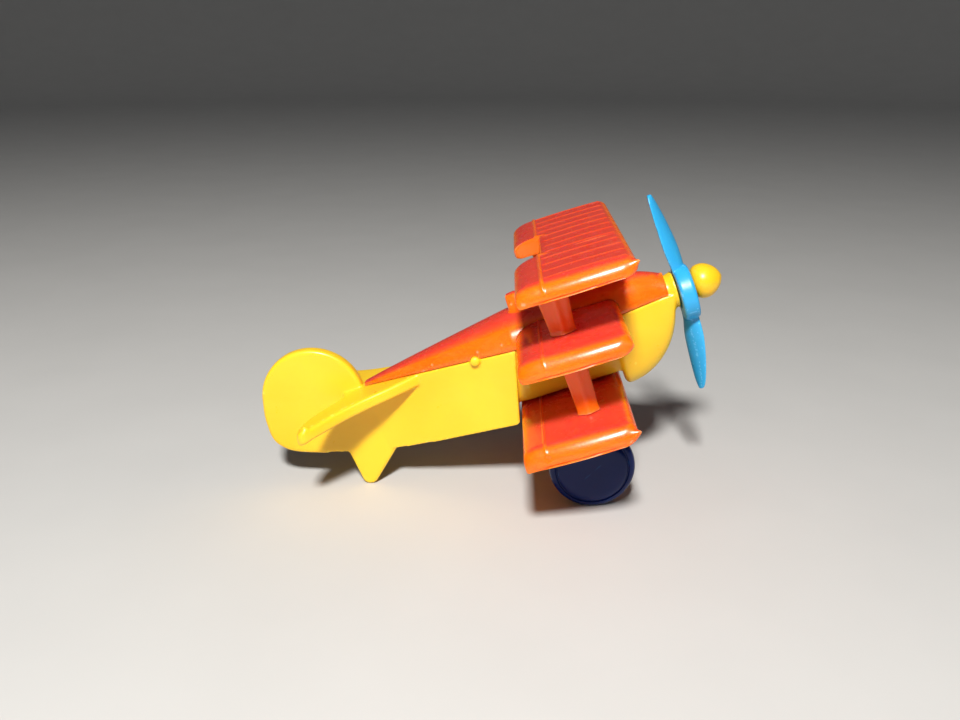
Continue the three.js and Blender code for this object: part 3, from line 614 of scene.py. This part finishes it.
def wing_section(chord, thick, roll, hinge, ridge):
    """(distance from the trailing edge, height) round the section: up the rolled-down tail, forward
    over the top, round the nose and back along the flat underside."""
    tail_low = 0.42 * thick
    points = [(0.35, 0), (0.1, 0.1), (0, 0.35)]
    for a in steps(0, 90, 16):
        turn = math.radians(a)
        points.append((roll * (1 - math.cos(turn)), tail_low + (thick - tail_low) * math.sin(turn)))
    nose_start, camber = chord - 1.1, 0.22

    def top(a):
        fall = max(0.0, (a - 0.4 * chord) / (0.6 * chord))
        return thick - camber * fall * fall + ridge * bell(a - hinge, 0.14)

    near_hinge = steps(max(roll, hinge - 0.4), hinge + 0.4, 14)
    points += [(a, top(a)) for a in near_hinge]
    points += [(a, top(a)) for a in steps(hinge + 0.6, nose_start, 18)]
    nose_high, nose_middle = top(nose_start), 0.38 * thick
    for a in steps(0, 90, 12)[1:]:
        turn = math.radians(a)
        points.append((
            nose_start + (chord - nose_start) * math.sin(turn),
            nose_middle + (nose_high - nose_middle) * math.cos(turn),
        ))
    for a in steps(0, 90, 6)[1:]:
        turn = math.radians(a)
        points.append((chord - 0.6 + 0.6 * math.cos(turn), nose_middle * (1 - math.sin(turn))))
    points += [(a, 0) for a in steps(chord - 1.2, 0.8, 10)]
    return points


def span_stations(breaks):
    """Distances along the span, close together at the tips and round each break."""
    tip = HALF_SPAN - TIP_ROUNDING
    ends = [tip + TIP_ROUNDING * math.sin(math.radians(a)) for a in steps(0, 90, 20)]
    stations = [-e for e in ends] + steps(-tip, tip, 60) + ends
    for y, spacing in breaks:
        stations += [y + k * spacing for k in range(-4, 5)]
    return sorted(set(round(y, 3) for y in stations))


def quarter_inset(distance, radius):
    """How far a corner of this radius has drawn in at a distance from its straight side."""
    short = min(1.0, max(0.0, 1 - distance / radius))
    return radius * (1 - math.sqrt(1 - short * short))


def wing(name, place, notch=False, ribs=0.0, ridge=0.1):
    """notch cuts the trailing edge at the middle, ribs is the height of the chordwise lines, and ridge
    that of the line along the hinge."""
    base, thick, rear, chord, hinge = place
    corner = 0.6
    breaks = []
    if notch:
        breaks = [(side * (NOTCH_HALF + k), 0.02) for side in (1, -1) for k in (0, 0.1, 0.3, 0.5)]
    if ribs:
        lines = round(HALF_SPAN / RIB_PITCH)
        breaks += [(side * RIB_PITCH * (k + 0.5), 0.05) for side in (1, -1) for k in range(lines)]
    rings = []
    for y in span_stations(breaks):
        distance = abs(y)
        inside_notch = notch and distance < NOTCH_HALF
        back = NOTCH_DEPTH if inside_notch else 0.0
        roll = 0.35 if inside_notch else WING_ROLL
        if notch and not inside_notch and distance < NOTCH_HALF + corner:
            back = quarter_inset(distance - NOTCH_HALF, corner)
        line = 0.0 if inside_notch else ridge
        at = hinge - back if not inside_notch else 1.2
        section = wing_section(chord - back, thick, min(roll, at - 0.45), at, line)
        over = max(0.0, distance - (HALF_SPAN - TIP_ROUNDING)) / TIP_ROUNDING
        flatten = mix(TIP_EDGE, 1.0, math.sqrt(max(0.0, 1 - over * over)))
        tail_in, nose_in = (quarter_inset(HALF_SPAN - distance, radius) for radius in TIP_CORNERS)
        squeeze = (chord - back - tail_in - nose_in) / (chord - back)
        # Chordwise rib lines stand a hair above the skin between the hinge line and the nose.
        rib = ribs * bell((distance % RIB_PITCH) - RIB_PITCH / 2, 0.11)
        ribs_from = 0.5 if inside_notch else at + 0.3
        barrel = TIP_BARREL * smooth((distance - HALF_SPAN + 2.5) / 2.5)
        ring = []
        for a, z in section:
            on_top = z > 0.8 * thick and ribs_from < a < chord - back - 0.8
            lifted = z + (rib if on_top and over == 0 else 0.0)
            recede = barrel * ((back + a) / chord - 0.6) ** 2 / 0.36
            ring.append((
                rear + back + tail_in + a * squeeze,
                y - math.copysign(recede, y),
                base + lifted * flatten,
            ))
        rings.append(ring)
    return skin(name, rings)


def wing_ends(place):
    """Base height, trailing edge and leading edge."""
    base, _, rear, chord, _ = place
    return base, rear, rear + chord


def all_wings():
    top = wing("top_wing_shell", TOP_WING, notch=True, ribs=0.085, ridge=0.2)
    base, rear, front = wing_ends(TOP_WING)
    pull(top, (front - 0.35, -HALF_SPAN + 0.75, base + 1.0), (0.55, -0.1, 0.15), 0.35)
    pull(top, (rear + 0.3, -HALF_SPAN + 0.25, base + 0.2), (-0.2, 0, -0.1), 0.4)
    settle(top, ORANGE, "airframe", "top_wing")
    middle = wing("middle_wing_shell", MIDDLE_WING, ridge=0.1)
    base, rear, front = wing_ends(MIDDLE_WING)
    pull(middle, (front - 0.4, -HALF_SPAN + 0.75, base + 0.8), (0.35, -0.1, -0.1), 0.35)
    settle(middle, ORANGE, "airframe", "middle_wing")
    lower = wing("lower_wing_shell", LOWER_WING, ridge=0.12)
    base, rear, front = wing_ends(LOWER_WING)
    for side in (1, -1):
        pull(lower, (front - 0.4, side * (HALF_SPAN - 0.7), base + 0.8), (0.65, side * 0.15, 0.2), 0.4)
        pull(lower, (rear + 0.3, side * (HALF_SPAN - 0.2), base + 0.15), (-0.4, 0, -0.15), 0.4)
        pull(lower, (rear + LOWER_WING[4], side * HALF_SPAN, base + 1.1), (0, -side * 0.3, 0), 0.35)
    settle(lower, ORANGE, "airframe", "lower_wing")


# ---- struts and undercarriage ------------------------------------------------------------------


def strut(name, y, base, top, chords):
    """A lens-shaped bar with a rib down its middle, flared where it meets the wings."""
    rings = []
    for z in steps(base, top, 40):
        share = (z - base) / (top - base)
        end = min(z - base, top - z)
        flare = 0.1 * bell(end, 0.3)
        half = mix(*chords, share) / 2 + flare
        thick = 0.4 + flare
        ring = []
        for i in range(48):
            turn = 2 * math.pi * i / 48
            along, out = math.cos(turn), math.sin(turn)
            rib = 0.2 * bell(along * half, 0.42) * math.copysign(1, out) * min(1.0, abs(out) * 3)
            ring.append((STRUT_X + along * half, y + out * thick + rib, z))
        rings.append(ring)
    return skin(name, rings)


def all_struts():
    gap = 0.1
    for side, y in (("left", STRUT_Y), ("right", -STRUT_Y)):
        low = MIDDLE_WING[0] + MIDDLE_WING[1] + gap
        bar = strut(f"upper_strut_{side}_bar", y, low, TOP_WING[0] - gap, (2.6, 3.4))
        settle(bar, ORANGE, "airframe", f"upper_strut_{side}")
        low = LOWER_WING[0] + LOWER_WING[1] + gap
        bar = strut(f"lower_strut_{side}_bar", y, low, MIDDLE_WING[0] - gap, (2.25, 2.75))
        settle(bar, ORANGE, "airframe", f"lower_strut_{side}")


def undercarriage():
    x, z = AXLE.x, AXLE.z
    top = LOWER_WING[0] - 0.1
    for side, y in (("left", LEG_Y), ("right", -LEG_Y)):
        outline = [
            (x - 3, top), *[(x + 1.7 * math.cos(a), z + 1.7 * math.sin(a)) for a in steps(3.2, 6.22, 18)],
            (x + 3, top),
        ]
        window = [(x - 0.35, z + 2.0), (x + 0.35, z + 2.0), (x + 1.55, top - 1), (x - 1.55, top - 1)]
        eye = [(x + 0.87 * math.cos(a), z + 0.87 * math.sin(a)) for a in steps(0, 2 * math.pi, 40)[:-1]]
        frame_plate = plate(f"leg_{side}", outline, y - 0.6, y + 0.6, 0.18, holes=(window, eye))
        leg = moulded(f"undercarriage_leg_{side}_frame", [frame_plate], 0.08, 2)
        settle(leg, ORANGE, "airframe", f"undercarriage_leg_{side}")


def wheel_profile():
    inner, outer, radius = WHEEL_INNER, WHEEL_INNER + TYRE_WIDTH, WHEEL_RADIUS
    profile = [(inner, 0), (inner, 0.9), (inner + 0.25, 1.0), (inner + 0.25, 3.2), (inner, 3.45)]
    tyre = through([
        (inner, radius - 1.2), (inner + 0.12, radius - 0.7), (inner + 0.5, radius - 0.2),
        (inner + 1.1, radius), (inner + 1.6, radius - 0.08), (outer - 0.15, radius - 0.35),
        (outer, RIM_RADIUS + 0.12),
    ], 6)
    profile += [(p.x, p.y) for p in tyre]
    profile += [(outer - 0.12, RIM_RADIUS + 0.02), (outer - 0.1, RIM_RADIUS - 0.08)]
    for a in steps(4, 80, 22):
        turn = math.radians(a)
        profile.append((outer - 0.05 + DOME * math.sin(turn), (RIM_RADIUS - 0.12) * math.cos(turn)))
    return profile + [(profile[-1][0], 0)]


def wheelset():
    centre = (AXLE.x, 0, AXLE.z)
    profile = wheel_profile()
    left = turned("wheel_left_tyre", profile, "Y", centre, 128)
    right = turned("wheel_right_tyre", [(-y, r) for y, r in profile], "Y", centre, 128)
    bar = turned("axle_rod", [
        (-3.9, 0), (-3.9, 0.68), (-3.8, 0.8), (3.8, 0.8), (3.9, 0.68), (3.9, 0),
    ], "Y", centre, 48)
    settle(left, NAVY, "wheelset", "wheel_left")
    settle(right, NAVY, "wheelset", "wheel_right")
    settle(bar, NAVY, "wheelset", "axle")


# ---- propeller ---------------------------------------------------------------------------------


def blade(up):
    """One twisted blade with a ridge along it, narrow at its neck and pointed at its tip."""
    widths = through([
        (0.12, 0.82), (0.26, 0.78), (0.34, 0.88), (0.45, 1.0), (0.58, 1.0), (0.72, 0.93), (0.84, 0.8),
        (0.93, 0.62), (0.985, 0.36), (1.0, 0.14),
    ], 6)
    rings = []
    for point in widths:
        share, width = point.x, point.y
        twist = math.radians(mix(44, 22, share))
        half, thick = 3.1 * width / 2, 0.95 * mix(1.15, 0.5, share * share) / 2
        ring = []
        for j in range(32):
            turn = 2 * math.pi * j / 32
            along = half * math.cos(turn)
            out = thick * math.sin(turn) * mix(1.0, abs(math.sin(turn)), 0.55)
            y = along * math.cos(twist) - out * math.sin(twist)
            x = along * math.sin(twist) + out * math.cos(twist) - 1.1 * share ** 1.5
            ring.append((x, up * y, up * share * PROP_RADIUS))
        rings.append([Vector(p) + HUB_MIDDLE for p in ring])
    return skin("blade", rings)


def propeller():
    h, r = HUB_HALF, HUB_RADIUS
    hub = turned("hub", [
        (-h, 0), (-h, r - 0.3), (-h + 0.1, r - 0.1), (-h + 0.3, r),
        (h - 0.3, r), (h - 0.1, r - 0.1), (h, r - 0.3), (h, 0),
    ], "X", HUB_MIDDLE)
    body = moulded("propeller_blades", [hub, blade(1), blade(-1)], 0.08, 4)
    bore = turned("bore", [(-3, 0), (-3, HUB_BORE), (3, HUB_BORE), (3, 0)], "X", HUB_MIDDLE, 64)
    cut(body, bore)
    settle(body, BLUE, "propeller", "propeller")


def pin():
    shank, rear, length, k = 0.95, 43.09, 3.2, 1.95
    knob = through([
        (rear, k * 0.7), (rear + 0.06 * length, k * 0.84), (rear + 0.18 * length, k * 0.96),
        (rear + 0.34 * length, k), (rear + 0.52 * length, k * 0.95), (rear + 0.7 * length, k * 0.79),
        (rear + 0.85 * length, k * 0.56), (rear + 0.95 * length, k * 0.3), (rear + length, k * 0.06),
    ], 6)
    profile = [(36, 0), (36, shank - 0.3), (36.3, shank), (rear, shank), *[(p.x, p.y) for p in knob]]
    knob_and_shank = turned("propeller_pin_knob", profile + [(rear + length, 0)], "X")
    settle(knob_and_shank, PIN, "airframe", "propeller_pin")


# ---- stage -------------------------------------------------------------------------------------


def matt(name, colour):
    material = bpy.data.materials.new(name)
    material.use_nodes = True
    tree = material.node_tree
    place = tree.nodes.new("ShaderNodeTexCoord").outputs["Object"]
    tone = spread(tree, noise(tree, place, 60, 4), 0.3, 0.7, 0, 1)
    shade = tuple(c * 0.97 for c in colour)
    shader = tree.nodes["Principled BSDF"]
    tree.links.new(blend_colour(tree, tone, colour, shade), shader.inputs["Base Color"])
    shader.inputs["Roughness"].default_value = 0.8
    return material


def aim(obj, place, target):
    obj.location = place
    obj.rotation_euler = (Vector(target) - Vector(place)).to_track_quat("-Z", "Y").to_euler()


def area_light(name, place, target, size, power, colour=(1, 1, 1)):
    light = bpy.data.lights.new(name, "AREA")
    light.size = size
    light.energy = power
    light.color = colour
    obj = bpy.data.objects.new(name, light)
    bpy.context.scene.collection.objects.link(obj)
    aim(obj, place, target)


def stage():
    """A seamless pale bowl, one small key light, a weak fill and the camera at the photo's angle."""
    flat, bend, sides = 0.7, 0.4, 64
    bowl = [(0.01, 0), (flat, 0)]
    bowl += [(flat + bend * math.sin(a), bend * (1 - math.cos(a))) for a in steps(0.1, 1.5, 12)]
    bowl.append((flat + bend, 2.5))
    turns = steps(0, 2 * math.pi, sides)[:-1]
    verts = [(r * math.cos(a), r * math.sin(a), z) for r, z in bowl for a in turns]
    faces = [tuple(range(sides))]
    for low in range(0, sides * (len(bowl) - 1), sides):
        for j in range(sides):
            k = (j + 1) % sides
            faces.append((low + j, low + k, low + sides + k, low + sides + j))
    floor = new_object("floor", verts, faces)
    for face in floor.data.polygons:
        face.use_smooth = True
    floor.data.materials.append(matt("floor_paper", (0.58, 0.575, 0.56)))
    target = (0.004, -0.004, 0.015)
    area_light("key", (-0.016, -0.21, 0.235), target, 0.035, 1.5, (1, 0.98, 0.95))
    area_light("fill", (-0.1, -0.35, 0.12), target, 0.3, 0.04)
    world = bpy.data.worlds.new("room")
    world.use_nodes = True
    world.node_tree.nodes["Background"].inputs["Color"].default_value = (0.85, 0.9, 1, 1)
    world.node_tree.nodes["Background"].inputs["Strength"].default_value = 0.16
    scene = bpy.context.scene
    scene.world = world
    scene.view_settings.view_transform = "Standard"
    camera = bpy.data.objects.new("camera", bpy.data.cameras.new("camera"))
    scene.collection.objects.link(camera)
    camera.data.lens = 33.75
    camera.data.sensor_width = 36
    camera.data.clip_start = 0.005
    aim(camera, (0.0025, -0.0979, 0.0512), (-0.00045, -0.00389, 0.01723))
    scene.camera = camera


lower_fuselage()
upper_deck()
all_wings()
all_struts()
undercarriage()
wheelset()
propeller()
pin()
stage()
